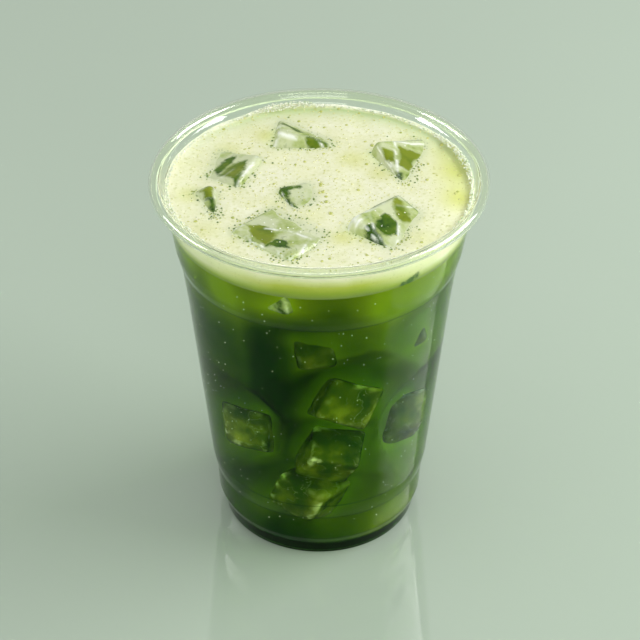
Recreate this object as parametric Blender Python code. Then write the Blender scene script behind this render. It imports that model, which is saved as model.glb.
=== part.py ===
"""A takeaway cup of green juice with a head of foam and seven ice cubes.

Blender 4.5 script, in metres with +Z up. The origin is the middle of the cup's foot.

    cup          clear drawn cup: rolled rim, shoulder, nesting step and raised base
    juice        the drink, from the base up to the foam
    foam         the froth that floats on it, out to the wall
    ice_1 .. 7   the cubes that stand through the froth

The driving dimensions below are in millimetres.
"""
import math
import random

import bmesh
import bpy
from mathutils import Euler, Vector, noise

MM = 0.001                    # metres in a millimetre
MERGE = 0.01 * MM             # points nearer than this are one point
GAP = 0.3                     # left between pieces that touch in the real drink
SEGMENTS = 60                 # facets round the cup

# ---- cup ----
CUP_HEIGHT = 120.0
RIM_RADIUS = 49.0
CURL_RADIUS = 1.6             # outside of the rolled rim's section
CURL_END_ANGLE = -120.0       # how far the roll tucks under, from the outer side
CURL_STEPS = 10
WALL = 0.5
FOOT_RADIUS = 30.0
FOOT_RING_WIDTH = 1.7         # flat ring that the cup stands on
PUNT_HEIGHT = 3.0             # rise of the base inside that ring
PUNT_RUN = 1.6                # sideways run of the rise
WALL_OUTSIDE = (              # height, outer radius
    (117.3, 45.40),           # flare into the rolled rim
    (116.0, 44.85),
    (99.3, 42.50),            # top of the shoulder
    (96.3, 41.85),
    (93.7, 40.95),            # bottom of the shoulder
    (80.0, 39.25),            # where the wall steepens
    (22.4, 33.70),            # top of the nesting step
    (19.4, 33.20),
    (16.2, 32.40),            # bottom of the nesting step
    (7.4, 31.90),             # top of the heel
    (5.4, 31.15),
    (1.0, 30.20),
)

# ---- contents ----
FOAM_BOTTOM = 106.6
FOAM_TOP = 115.2
FOAM_RISE = 0.9               # how much higher the foam stands at the wall
FOAM_RISE_WIDTH = 3.0
FOAM_RELIEF = 0.22            # height of its low swells, up and down
FOAM_SWELL_SIZE = 9.0
FOAM_RINGS = (5.0, 11.0, 17.0, 23.0, 29.0, 34.0, 38.0, 41.0, 43.0)
FRINGES = (                   # bearing and half-width in degrees, height: froth up the wall
    (104.0, 22.0, 0.7),
    (20.0, 26.0, 0.5),
    (212.0, 30.0, 0.4),
)

# ---- ice ----
ICE_EDGE = 1.3                # rounding of the cubes' melted edges
ICE_EDGE_STEPS = 2
ICE_SKEW = 0.5                # how far a corner strays from a true box
ICE_SEED = 11
ICE_CUBES = (                 # middle, length by width by height, turn about X, Y and Z
    ((-6.1, 27.9, 107.2), (17.0, 17.6, 18.0), (140, 68, -132)),
    ((-26.8, 10.3, 106.3), (18.7, 18.1, 16.0), (90, -79, 157)),
    ((-31.4, -8.9, 110.3), (9.3, 15.7, 9.2), (161, -55, -156)),
    ((-6.3, -4.7, 108.0), (10.8, 14.7, 11.2), (-85, 9, 29)),
    ((24.5, 15.1, 106.9), (17.2, 18.0, 18.9), (-74, 15, 26)),
    ((19.7, -19.3, 107.8), (18.3, 16.5, 20.6), (-96, 18, -43)),
    ((-10.9, -24.3, 106.6), (18.6, 17.6, 22.4), (91, -4, -130)),
)


def wall_radius(height):
    """Outer radius of the cup's wall at a height."""
    stations = WALL_OUTSIDE
    for (z_top, r_top), (z_low, r_low) in zip(stations, stations[1:]):
        if z_low <= height <= z_top:
            return r_low + (r_top - r_low) * (height - z_low) / (z_top - z_low)
    return stations[0][1] if height > stations[0][0] else stations[-1][1]


def outside_line():
    """Outer face of the cup as (radius, height), from under the rim to the middle of the base."""
    ring_inner = FOOT_RADIUS - FOOT_RING_WIDTH
    wall = [(radius, height) for height, radius in WALL_OUTSIDE]
    base = [
        (FOOT_RADIUS - 0.1, 0.0),
        (ring_inner, 0.0),
        (ring_inner - PUNT_RUN * 0.6, PUNT_HEIGHT - 0.5),
        (ring_inner - PUNT_RUN, PUNT_HEIGHT),
        (0.0, PUNT_HEIGHT),
    ]
    return wall + base


def inset(line, depth):
    """A line that runs a given depth inside another, mitred at its corners."""
    points = [Vector(point) for point in line]
    result = []
    for index, point in enumerate(points):
        before = points[max(index - 1, 0)]
        after = points[min(index + 1, len(points) - 1)]
        arriving = (point - before).normalized() if index > 0 else (after - point).normalized()
        leaving = (after - point).normalized() if after != point else arriving
        normals = [Vector((way.y, -way.x)) for way in (arriving, leaving)]
        mitre = (normals[0] + normals[1]).normalized()
        moved = point + mitre * depth / mitre.dot(normals[0])
        result.append((max(moved.x, 0.0), moved.y))
    result[-1] = (0.0, result[-1][1])
    return result


def curl_line():
    """The rolled rim: over the top and round outside, then back along its own underside."""
    centre = (RIM_RADIUS - CURL_RADIUS, CUP_HEIGHT - CURL_RADIUS)
    start, end = math.radians(180.0), math.radians(CURL_END_ANGLE)
    angles = [start + (end - start) * step / CURL_STEPS for step in range(CURL_STEPS + 1)]
    face = [(CURL_RADIUS, angle) for angle in angles]
    underside = [(CURL_RADIUS - WALL, angle) for angle in reversed(angles)]
    return [
        (centre[0] + radius * math.cos(angle), centre[1] + radius * math.sin(angle))
        for radius, angle in face + underside
    ]


def material(name, colour, roughness, transmission=0.0, ior=1.45):
    """A Principled material in one colour."""
    made = bpy.data.materials.new(name)
    made.use_nodes = True
    shader = made.node_tree.nodes["Principled BSDF"]
    shader.inputs["Base Color"].default_value = (*colour, 1.0)
    shader.inputs["Roughness"].default_value = roughness
    shader.inputs["Metallic"].default_value = 0.0
    shader.inputs["Transmission Weight"].default_value = transmission
    shader.inputs["IOR"].default_value = ior
    made.diffuse_color = (*colour, 1.0)
    return made


def add_object(name, mesh, finish=None):
    """Put a mesh in the scene as a named object."""
    piece = bpy.data.objects.new(name, mesh)
    bpy.context.scene.collection.objects.link(piece)
    if finish:
        mesh.materials.append(finish)
    return piece


def mesh_from_bmesh(name, shape):
    """Turn a bmesh into a mesh whose faces point outwards."""
    bmesh.ops.recalc_face_normals(shape, faces=shape.faces)
    mesh = bpy.data.meshes.new(name)
    shape.to_mesh(mesh)
    shape.free()
    mesh.shade_smooth()
    mesh.set_sharp_from_angle(angle=math.radians(35.0))
    return mesh


def turned(name, line, finish):
    """A round piece: its section, as (radius, height), turned about the Z axis."""
    mesh = bpy.data.meshes.new(name)
    points = [(radius * MM, 0.0, height * MM) for radius, height in line]
    edges = [(index, index + 1) for index in range(len(points) - 1)]
    mesh.from_pydata(points, edges, [])
    piece = add_object(name, mesh, finish)
    screw = piece.modifiers.new("turn", "SCREW")
    screw.axis = "Z"
    screw.steps = SEGMENTS
    screw.render_steps = SEGMENTS
    screw.use_merge_vertices = True
    screw.merge_threshold = MERGE
    screw.use_smooth_shade = True
    return piece


def make_cup():
    """The cup: inner face from the middle of the base up, the rolled rim, then the outer face."""
    outside = outside_line()
    inside = list(reversed(inset(outside, WALL)))
    finish = material("clear_plastic", (0.93, 0.96, 0.93), 0.05, transmission=1.0, ior=1.57)
    return turned("cup", inside + curl_line() + outside, finish)


def contents_radius(height):
    """Radius of the drink or foam at a height, just clear of the wall."""
    return wall_radius(height) - WALL - GAP


def make_juice(cutters):
    """The drink: flat on top, and following the wall and the raised base below."""
    top = FOAM_BOTTOM - GAP / 2
    under = [point for point in inset(outside_line(), WALL + GAP) if point[1] < top]
    line = [(0.0, top), (contents_radius(top), top)] + under
    finish = material("green_juice", (0.055, 0.13, 0.008), 0.12)
    return cut(turned("juice", line, finish), cutters)


def fringe_height(bearing):
    """How much higher the froth clings to the wall at a bearing in degrees."""
    height = 0.0
    for middle, half_width, rise in FRINGES:
        away = abs((bearing - middle + 180.0) % 360.0 - 180.0) / half_width
        if away < 1.0:
            height += rise * math.cos(away * math.pi / 2) ** 2
    return height


def foam_height(radius, bearing):
    """Height of the foam's top: low swells, climbing a little where it meets the wall."""
    x = radius * math.cos(math.radians(bearing))
    y = radius * math.sin(math.radians(bearing))
    swell = noise.noise(Vector((x, y, 0.0)) / FOAM_SWELL_SIZE) * FOAM_RELIEF * 2
    edge = (radius - contents_radius(FOAM_TOP) + FOAM_RISE_WIDTH) / FOAM_RISE_WIDTH
    climb = max(edge, 0.0) ** 2
    return FOAM_TOP + swell + climb * (FOAM_RISE + fringe_height(bearing))


def make_foam(cutters):
    """The foam: an uneven top over a flat underside, out to the wall."""
    shape = bmesh.new()
    bottom = FOAM_BOTTOM + GAP / 2
    bearings = [360.0 * step / SEGMENTS for step in range(SEGMENTS)]

    def ring(place):
        """One loop of points; place gives the radius and height at a bearing."""
        loop = []
        for bearing in bearings:
            radius, height = place(bearing)
            turn = math.radians(bearing)
            spot = Vector((radius * math.cos(turn), radius * math.sin(turn), height)) * MM
            loop.append(shape.verts.new(spot))
        return loop

    def join(low, high):
        """Skin two loops with a band of faces."""
        for index in range(SEGMENTS):
            after = (index + 1) % SEGMENTS
            shape.faces.new((low[index], low[after], high[after], high[index]))

    def wall_place(bearing):
        """Where the top meets the wall."""
        height = foam_height(contents_radius(FOAM_TOP), bearing)
        return contents_radius(height), height

    centre = shape.verts.new(Vector((0.0, 0.0, foam_height(0.0, 0.0))) * MM)
    loops = [ring(lambda b, r=radius: (r, foam_height(r, b))) for radius in FOAM_RINGS]
    loops.append(ring(wall_place))
    loops.append(ring(lambda b: (contents_radius(bottom), bottom)))
    for index in range(SEGMENTS):
        shape.faces.new((centre, loops[0][index], loops[0][(index + 1) % SEGMENTS]))
    for inner, outer in zip(loops, loops[1:]):
        join(inner, outer)
    shape.faces.new(loops[-1])
    finish = material("foam", (0.80, 0.82, 0.50), 0.6)
    return cut(add_object("foam", mesh_from_bmesh("foam", shape), finish), cutters)


def ice_mesh(name, index, grow):
    """A melted cube: a slightly skewed box with rounded edges, grown all round by a distance."""
    _, size, _ = ICE_CUBES[index]
    draw = random.Random(ICE_SEED + index)
    shape = bmesh.new()
    bmesh.ops.create_cube(shape, size=1.0)
    for corner in shape.verts:
        skew = Vector([draw.uniform(-ICE_SKEW, ICE_SKEW) for _ in range(3)])
        for axis in range(3):
            side = math.copysign(1.0, corner.co[axis])
            corner.co[axis] = side * (size[axis] / 2 + grow) + skew[axis]
        corner.co *= MM
    bmesh.ops.bevel(
        shape,
        geom=shape.edges[:],
        offset=(ICE_EDGE + grow) * MM,
        offset_type="OFFSET",
        segments=ICE_EDGE_STEPS,
        profile=0.5,
        affect="EDGES",
    )
    bmesh.ops.triangulate(shape, faces=shape.faces)
    return mesh_from_bmesh(name, shape)


def place_ice(piece, index):
    """Stand a cube where it floats."""
    middle, _, turn = ICE_CUBES[index]
    piece.location = Vector(middle) * MM
    piece.rotation_euler = Euler([math.radians(angle) for angle in turn])
    return piece


def make_ice():
    """The ice cubes that stand through the foam."""
    finish = material("ice", (0.86, 0.93, 0.80), 0.06, transmission=1.0, ior=1.31)
    for index in range(len(ICE_CUBES)):
        name = f"ice_{index + 1}"
        place_ice(add_object(name, ice_mesh(name, index, 0.0), finish), index)


def make_cutters():
    """Guides that clear room for the ice in the drink and the foam."""
    group = bpy.data.collections.new("ice_room")
    bpy.context.scene.collection.children.link(group)
    for index in range(len(ICE_CUBES)):
        name = f"room_for_ice_{index + 1}"
        room = place_ice(bpy.data.objects.new(name, ice_mesh(name, index, GAP)), index)
        room.hide_render = True
        room.display_type = "WIRE"
        group.objects.link(room)
    return group


def cut(piece, cutters):
    """Take the ice's room out of a piece."""
    carve = piece.modifiers.new("ice_room", "BOOLEAN")
    carve.operation = "DIFFERENCE"
    carve.operand_type = "COLLECTION"
    carve.collection = cutters
    carve.solver = "EXACT"
    return piece


def main():
    for thing in list(bpy.data.objects):
        bpy.data.objects.remove(thing, do_unlink=True)
    cutters = make_cutters()
    make_cup()
    make_juice(cutters)
    make_foam(cutters)
    make_ice()


main()
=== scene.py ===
"""Looks of a takeaway cup of green juice: clear cup, cloudy drink, foam, bubbles and ice.

Lengths are in millimetres where a name or comment doesn't say otherwise, and MM turns them into metres.
Bearings are in degrees from +X towards +Y, and shares run from 0 to 1.
"""
import math
import random

import bpy
from mathutils import Euler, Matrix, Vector, noise
from mathutils.bvhtree import BVHTree


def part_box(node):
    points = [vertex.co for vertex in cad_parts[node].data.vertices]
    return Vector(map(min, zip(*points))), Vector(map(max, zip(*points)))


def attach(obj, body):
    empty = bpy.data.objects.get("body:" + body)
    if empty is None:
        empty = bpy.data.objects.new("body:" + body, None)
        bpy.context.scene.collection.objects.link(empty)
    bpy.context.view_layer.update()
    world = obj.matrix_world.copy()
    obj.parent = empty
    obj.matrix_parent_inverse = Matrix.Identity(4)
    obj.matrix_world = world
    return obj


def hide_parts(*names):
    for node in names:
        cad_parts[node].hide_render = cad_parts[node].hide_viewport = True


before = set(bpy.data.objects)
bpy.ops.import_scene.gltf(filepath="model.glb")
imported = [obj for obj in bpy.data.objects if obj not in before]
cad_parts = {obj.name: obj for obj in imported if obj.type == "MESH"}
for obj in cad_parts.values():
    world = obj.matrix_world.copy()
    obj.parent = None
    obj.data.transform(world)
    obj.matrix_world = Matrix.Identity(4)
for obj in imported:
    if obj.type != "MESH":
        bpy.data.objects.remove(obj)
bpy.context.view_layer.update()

MM = 0.001
FULL_TURN = 2 * math.pi
MERGE = 0.01 * MM
TURNED_SHARP = 40.0           # corners over this many degrees stay sharp on turned pieces,
CUT_SHARP = 50.0              # on those with the ice's room cut out,
MELTED_SHARP = 60.0           # and on melted ice and bubbles
TINY = 1e-6                   # keeps a division by a level stretch's height from failing

# ---- cup, as packed ----
CUP_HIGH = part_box("cup")[1]
RIM_RADIUS = CUP_HIGH.x / MM
CUP_HEIGHT = CUP_HIGH.z / MM
WALL = 0.5
CURL_RADIUS = 1.6
CURL_END_ANGLE = -120.0
CURL_STEPS = 30
FOOT_RADIUS = 30.0
FOOT_EASE = 0.1               # how much narrower the foot is where it stands
FOOT_RING_WIDTH = 1.7
PUNT_HEIGHT = 3.0             # how high the base is raised inside its ring
PUNT_RUN = 1.6                # how far its slope runs inwards
PUNT_BEND_SHARE = 0.6         # where on that run the slope bends,
PUNT_BEND_DROP = 0.5          # and how far under the top
WALL_OUTSIDE = (              # height, outer radius
    (117.3, 45.40),
    (116.0, 44.85),
    (99.3, 42.50),            # top of the shoulder
    (96.3, 41.85),
    (93.7, 40.95),            # bottom of the shoulder
    (80.0, 39.25),
    (22.4, 33.70),            # top of the nesting step
    (19.4, 33.20),
    (16.2, 32.40),            # bottom of the nesting step
    (7.4, 31.90),             # top of the heel
    (5.4, 31.15),
    (1.0, 30.20),
)
CUP_STEPS = 192
CORNER_EASE = 0.4             # how far each corner of the wall is eased,
EASED_SHARE = 0.45            # and the most of a side that one corner takes
CORNER_STEPS = 4
FOOT_ZONE = 3.2               # height up to which the base is dark, with the drink above it and with painted shade where the cup stands
RING_SHADE_LINES = (93.9, 22.2, 16.4, 7.3)   # heights of the fine lines of painted shade along the wall's steps
RING_SHADE_REACH = (0.15, 0.40)         # each is full to the first and gone at the second
AT_CUT = 0.1                  # how near the middle of the curl's cut end a face of that end lies
UPWARD = 0.9                  # rise of the normal of a face that looks up

# ---- drink ----
INTO_WALL = 0.12              # how far drink and foam reach into the wall, so that no air shows
FOAM_BOTTOM = 106.6
DRINK_BEND = 1.3              # bend of light at the wall's outer face where the drink backs it
JUICE_DENSITY = 120.0         # how strongly its clear part colours light, for each metre
MURK_DEPTHS = (               # height, how far inside the wall the drink turns cloudy
    (3.6, 0.6),
    (8.0, 1.2),
    (18.0, 4.5),
    (30.0, 6.0),
    (84.0, 6.0),
    (98.0, 4.5),
    (107.0, 3.5),
)
MURK_INTO_FOAM = 0.4          # how far the cloudy depth reaches up into the foam,
MURK_OVER_BASE = 0.6          # how far it keeps over the base,
MURK_FOOT_RADIUS = 26.0       # and how wide it is there
MURK_ROWS = 80                # rows of its side,
MURK_GRID = 1.6               # and the widest gap between points of its outline
DENT_INNER_RADIUS = 20.0      # inside this, and outside these heights, the cloudy depth isn't drawn back
DENT_HEIGHTS = (5.0, FOAM_BOTTOM - 2.0)
DENT_REACH = 11.0             # it draws back over this distance beside a sunk cube,
DENT_LIFT = 2.5               # above it more than below,
DENT_TALL = 0.85              # with heights counting for less than widths,
DENT_AROUND = 1.0             # fully this far round the cube,
DENT_BEHIND = 1.0             # and this far behind its middle
GLOW_REACH = 4.5              # how far the painted light round an ice cube carries in the drink
DIM_REACH = 13.0              # how far round a cube that shows faintly this painted light is dimmed
WALL_LIGHT = (                # bearing, how much light is painted on the drink there, painted shade below zero: high up, low down
    (-180.0, 0.20, 0.14),
    (-140.0, 0.22, 0.08),
    (-130.0, 0.22, 0.05),
    (-120.0, -0.12, -0.12),
    (-98.0, -0.12, -0.12),
    (-75.0, 0.16, 0.10),
    (-58.0, 0.40, 0.32),
    (-40.0, 0.42, 0.34),
    (0.0, 0.30, 0.22),
    (90.0, 0.18, 0.15),
    (180.0, 0.20, 0.14),
)
WALL_LIGHT_HEIGHTS = (75.0, 45.0)
UNDER_FOAM_LIGHT = (          # depth under the foam, how much light is painted on the drink there, as lent by the foam
    (0.0, 0.35),
    (7.5, 0.2),
    (16.0, 0.2),
    (26.0, 0.0),
)
SPECK_SEED = 23
SPECK_FLATNESS = 0.8
SPECKS = 400
SPECK_HEIGHTS = (12.0, FOAM_BOTTOM - 2.0)
SPECK_DEPTHS = (0.3, 0.8)     # how far they hang inside the wall
SPECK_SIZES = (0.10, 0.22)
SPECK_GAP = 0.4               # how far they keep from the ice

# ---- foam ----
FOAM_TOP = 115.2
FOAM_OVERLAP = 0.1            # how far it reaches down into the drink
FOAM_RISE = 0.9               # how far it climbs the wall,
FOAM_RISE_WIDTH = 3.0         # over this width
FOAM_RELIEF = 0.16            # height of its low swells, up and down
FOAM_SWELL_SIZE = 9.0
FOAM_LIP = 0.06               # how far it climbs the ice,
FOAM_LIP_REACH = 0.7          # over this width
FOAM_STEPS = 256              # points round its disc,
FOAM_SPAN = 64                # cells along one side of the grid that fills it,
FOAM_CUTS = 2                 # and cuts across each cell
AT_EDGE = 0.05                # how near the disc's edge a point of its edge lies
WALL_BAND = 0.4               # how near the wall the look of the foam's side starts
FRINGES = (                   # bearing and half-width in degrees, height: froth up the wall
    (104.0, 22.0, 0.7),
    (20.0, 26.0, 0.5),
    (212.0, 30.0, 0.4),
)
YELLOW_PATCHES = (            # place and radius where the foam is thin and yellow, and how much
    ((41.0, 9.0), 9.5, 1.0),
    ((40.5, -6.0), 8.5, 0.9),
    ((38.0, 20.0), 7.0, 0.6),
    ((-16.0, 28.0), 5.0, 0.7),
    ((6.5, -26.0), 5.0, 0.7),
    ((10.0, 15.0), 7.0, 0.6),
    ((18.0, 7.0), 5.0, 0.6),
    ((-37.0, -4.0), 6.0, 0.6),
    ((-32.0, -22.0), 7.0, 0.4),
    ((-27.0, 20.0), 6.0, 0.5),
    ((-2.0, -15.0), 6.0, 0.35),
    ((28.0, -26.0), 7.0, 0.4),
)
YELLOW_FALL = 1.5             # how steeply each fades towards its radius
EDGE_GREEN_BEARING = 75.0     # where the foam's edge is greenest,
EDGE_GREEN_WIDTH = 1.5        # how wide it is green there,
EDGE_GREEN_FADE = 3.0         # over what width this fades,
EDGE_GREEN_START = 0.3        # and how far inside the wall it starts
NEAR_ICE_REACH = 1.2          # how far round a cube the foam is thin
NEAR_ICE_DEPTH = 0.8          # and to what depth under its top
SIDE_PALE = (12.0, 34.0)      # the foam's side pales from the first to the second distance aside
OPEN_SIDE = (                 # spots down the foam's side where the dark drink shows through
    (23.2, -36.4, 106.9),
    (24.6, -35.8, 107.2),
    (25.9, -35.1, 107.8),
    (27.0, -34.4, 108.1),
)
OPEN_REACH = 1.3

# ---- bubbles: sizes are radii, and shades run from 0, pale, to 1, dark ----
BUBBLE_SEED = 7
BUBBLE_FLATNESS = 0.6         # height of a bubble as a share of its width
LOOSE_BUBBLES = 2000
LOOSE_SIZES = (0.12, 0.20)    # the smallest, and how much the largest adds
LOOSE_SHADE = 0.45            # the darkest of them
BIG_ODDS = 0.03               # share of them that are big,
BIG_EXTRA = (0.2, 0.42)       # by this much more,
BIG_SHADES = (0.35, 0.55)     # and this dark
BUBBLE_GAP = 0.2              # how far loose bubbles keep from the ice
EDGE_GAP = 0.8                # and bubbles from the wall
BUBBLES_BY_ICE = 60
CROWD_TRIES = 5000
CROWD_SHARE = 0.9             # how far they spread from a cube's middle, by its longest side
CROWD_REACH = 0.9             # how quickly they thin out away from it
CROWD_START = 1.0             # how far in front of its middle they start to crowd
CROWD_BEHIND = 0.05           # how many remain behind that
CROWD_GAP = 0.15              # how far from the ice they keep
CROWD_LIFT = 0.05             # and how far they stand over the foam
CROWD_SIZES = (0.12, 0.36)
DARK_SHADES = (0.4, 1.0)
BUBBLES_ON_ICE = (            # cube, middle and reach of the dark bubbles on it, how many
    ("ice_4", (-3.0, -6.0), 4.5, 45),
    ("ice_7", (-8.0, -34.0), 5.0, 25),
    ("ice_6", (24.0, -24.0), 4.0, 20),
)
ON_ICE_SIZES = (0.12, 0.34)
BEAD_SEED = 19
BEAD_FLATNESS = 0.9
WALL_BEADS = 2400             # fine white bubbles along the wall
BEAD_SIZES = (0.12, 0.30)
BEAD_ODDS = 0.35              # share of them kept where there is no fringe
BEAD_START = 0.7              # their band starts at this share of the foam's rise at the wall,
BEAD_FRINGE_START = 0.8       # and of the fringe's,
BEAD_BAND_HEIGHT = 0.3        # and has this height
BEAD_BAND_WIDTH = 0.8         # and width,
BEAD_BAND_GROWTH = 1.6        # to which each millimetre of fringe adds this
BEAD_INSET = 0.6              # share of its size that a bead keeps inside the wall
BEADS_ON_ICE = {"ice_7": 16, "ice_6": 8, "ice_5": 4, "ice_1": 4}   # how many lie on a cube's top,
BEAD_SPREAD = 8.0             # at most this far from its middle each way

# ---- ice ----
FLOATING_ICE = {              # middle, turn about X, Y and Z, size of the block that melted
    "ice_1": ((-6.1, 27.9, 107.2), (140, 68, -132), (17, 17.6, 18)),
    "ice_2": ((-26.8, 10.3, 106.3), (90, -79, 157), (18.7, 18.1, 16)),
    "ice_3": ((-31.4, -8.9, 110.3), (161, -55, -156), (9.3, 15.7, 9.2)),
    "ice_4": ((-6.3, -4.7, 108), (-85, 9, 29), (10.8, 14.7, 11.2)),
    "ice_5": ((24.5, 15.1, 106.9), (-74, 15, 26), (17.2, 18, 18.9)),
    "ice_6": ((19.7, -19.3, 107.8), (-96, 18, -43), (18.3, 16.5, 20.6)),
    "ice_7": ((-10.9, -24.3, 106.6), (91, -4, -130), (18.6, 17.6, 22.4)),
}
SUNK_ICE = (                  # middle, turn about X, Y and Z, size, how much the cloud lets show
    ((6.4, -21.0, 56.9), (128, 57, -129), (14.0, 15.3, 14.5), 1.0),
    ((2.7, -19.6, 36.2), (30, 50, 123), (14.0, 14.4, 14.8), 1.0),
    ((-2.6, -17.6, 19.5), (-111, 3, -127), (14.0, 14.0, 14.7), 1.0),
    ((-17.5, -13.0, 40.6), (94, -25, -113), (14.4, 14.1, 14.1), 1.0),
    ((19.8, -7.9, 41.3), (-110, 39, -66), (13.7, 11.7, 12.1), 0.85),
    ((-1.5, -25.2, 78.6), (-6, 25, 96), (9.5, 10.5, 11.0), 0.5),
    ((20.3, -11.8, 74.6), (-77, -17, -69), (8.6, 8.6, 11.4), 0.4),
)
SHOWN_WELL = 0.6              # a cube that shows more than this has the brighter look
SUNK_BEVEL = 1.2
SUNK_SEED = 40
ICE_VOXEL = 0.46
ICE_SWELL = 0.25              # how far the melted floating cubes fill the gap that their solids leave
FLOATING_MELT = 0.25          # how far a cube's faces wander
SUNK_MELT = 0.45
MELT_SIZE = 8.0               # width of the broad hollows that melting leaves,
FINE_MELT_SIZE = 2.5          # of the fine ones,
FINE_MELT_SHARE = 0.35        # and how deep these are beside the others
FINE_MELT_SEED = 20
SEED_STEPS = (3.7, 1.9, 5.3)  # how far the pattern moves from one seed to the next
DRINK_OVER_ICE = 0.07         # how far the drink and foam lap over the ice, so that no air shows,
MURK_OVER_ICE = 0.25          # and the cloudy depth
STANDING_DEPTH = 0.3          # a cube stands out of the foam from this depth under its top
OVER_FOAM = 0.2               # what rises this far over the foam's top is ice
EDGE_START = 0.6              # share of a block's half-width at which its edges start
FAR_EDGE_START = 0.5          # share of an edge's sharpness from which its far side darkens,
FAR_RUN = 4.0                 # over this distance behind the cube's middle
TOP_DEPTH = 1.5               # down to this depth under the foam's top a cube looks as it does on top
PATCH_EASE = 2.4              # width of a green patch's soft border
HIDDEN_GREEN = 0.5            # how green, and how yellow, a cube is under the foam
HIDDEN_TONE = 0.2
# half-width of a painted highlight line
HIGHLIGHT_HALF_WIDTH = 0.42
ICE_PATCHES = {               # by cube: how yellow, and outline of each green patch that its top shows
    "ice_1": (
        (0.5, ((-3.5, 25.5), (0.5, 24.5), (5.5, 18.0), (-1.0, 19.0), (-4.0, 22.5))),
        (0.2, ((-10.5, 33.5), (-4.5, 28.0), (-6.0, 27.0), (-11.0, 31.5))),
    ),
    "ice_2": (
        (0.7, ((-29.0, 5.0), (-25.5, 11.0), (-21.0, 12.0), (-22.0, 7.0), (-24.5, 2.5))),
        (0.3, ((-30.5, 8.5), (-27.0, 14.0), (-24.5, 15.0), (-25.0, 12.0), (-29.5, 6.0))),
        (0.5, ((-24.5, 2.5), (-22.0, 7.0), (-23.5, -2.5), (-25.0, -2.5))),
    ),
    "ice_3": (
        (0.9, ((-34.0, -3.5), (-31.5, -0.5), (-30.0, -2.5), (-30.5, -7.0), (-32.5, -6.5))),
        (0.1, ((-32.0, -7.0), (-29.5, -7.5), (-28.5, -19.5), (-30.0, -17.5))),
    ),
    "ice_4": (
        (0.1, (
            (-13.0, -2.5), (-10.0, -1.0), (-5.0, -1.0), (-8.5, -4.0),
            (-8.0, -9.0), (-5.0, -15.0), (-10.5, -7.0),
        )),
    ),
    "ice_5": (
        (1.0, ((23.5, 18.5), (29.5, 17.0), (26.0, 8.5), (23.5, 10.0))),
        (1.0, ((18.5, 15.5), (22.0, 15.0), (22.0, 10.0), (19.5, 11.5))),
        (0.3, ((22.0, 6.5), (24.5, 6.5), (23.5, -0.5), (22.0, 1.0))),
        (0.4, ((15.5, 19.5), (19.5, 25.0), (20.5, 24.5), (17.0, 19.0))),
    ),
    "ice_6": (
        (0.3, ((15.5, -21.5), (18.5, -17.5), (21.5, -20.0), (22.0, -25.0), (18.5, -27.0), (15.5, -24.0))),
        (0.1, ((12.0, -25.0), (15.0, -22.5), (19.0, -31.0), (18.0, -34.0), (14.5, -30.0))),
        (0.9, ((21.5, -8.5), (24.0, -10.0), (25.5, -18.0), (23.0, -19.0), (20.5, -12.5))),
    ),
    "ice_7": (
        (1.0, (
            (-20.5, -20.5), (-15.0, -21.5), (-12.0, -25.0),
            (-13.0, -29.5), (-15.0, -31.0), (-18.5, -26.5),
        )),
        (0.2, ((-15.0, -31.0), (-12.0, -28.5), (-8.5, -29.5), (-8.0, -32.5), (-12.0, -32.5))),
        (0.4, ((-7.0, -36.0), (-5.5, -36.5), (-5.0, -39.0), (-6.5, -39.0))),
    ),
}
ICE_HIGHLIGHT_LINES = {               # by cube: lines along which a white highlight is painted on its top
    "ice_1": (((-6.0, 25.0), (-3.5, 25.0)), ((-1.0, 24.0), (1.5, 20.5))),
    "ice_2": (((-17.0, 16.0), (-20.5, 7.5), (-24.5, -2.5)), ((-28.0, 4.0), (-25.0, 7.5))),
    "ice_3": (((-30.0, -2.5), (-29.0, -11.5)),),
    "ice_4": (((-12.0, -4.0), (-9.0, -10.0)),),
    "ice_5": (((22.0, 23.5), (22.5, 13.0), (23.0, 1.0)), ((22.0, 21.0), (27.0, 21.0), (31.0, 23.0))),
    "ice_6": (
        ((7.0, -23.5), (11.5, -19.0), (15.5, -16.0)),
        ((9.0, -25.0), (13.5, -20.5)),
        ((14.0, -19.0), (15.5, -26.0), (19.0, -31.0)),
        ((22.5, -19.0), (21.5, -29.5), (18.5, -32.5)),
        ((22.0, -12.5), (26.5, -11.5)),
    ),
    "ice_7": (((-15.0, -22.5), (-8.0, -23.5), (-2.5, -27.0)), ((-2.5, -27.0), (-5.5, -36.0))),
}

# ---- studio, in metres ----
FLOOR_SIZE = 6.0
FLOOR_DROP = 0.0002           # a hair under the foot
CAMERA_PLACE = (0.0002, -0.49962, 0.43965)
CAMERA_TILT = 53.307          # degrees from straight down
CAMERA_LENS = 116.09          # focal length and sensor width, in millimetres
CAMERA_SENSOR = 36.0


# ---------------------------------------------------------------- modelling helpers

def deselect():
    """Leave edit mode and let go of everything."""
    if bpy.context.mode != "OBJECT":
        bpy.ops.object.mode_set(mode="OBJECT")
    bpy.ops.object.select_all(action="DESELECT")


def take(piece):
    """Select one piece alone."""
    deselect()
    piece.select_set(True)
    bpy.context.view_layer.objects.active = piece


def edit_all():
    """Edit the active piece with all of it selected."""
    bpy.ops.object.mode_set(mode="EDIT")
    bpy.ops.mesh.select_all(action="SELECT")


def settle(piece, name):
    """Name a piece and leave its place in its mesh."""
    take(piece)
    bpy.ops.object.transform_apply(location=True, rotation=True, scale=True)
    piece.name = name
    piece.data.name = name
    return piece


def smooth(piece, angle):
    """Shade a piece smooth but for its corners over an angle in degrees."""
    take(piece)
    bpy.ops.object.shade_smooth_by_angle(angle=math.radians(angle))


def finish_modifier(piece, kind, **settings):
    """Add a modifier with these settings and apply it."""
    take(piece)
    modifier = piece.modifiers.new(kind.lower(), kind)
    for key, value in settings.items():
        setattr(modifier, key, value)
    bpy.ops.object.modifier_apply(modifier=modifier.name)


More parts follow.
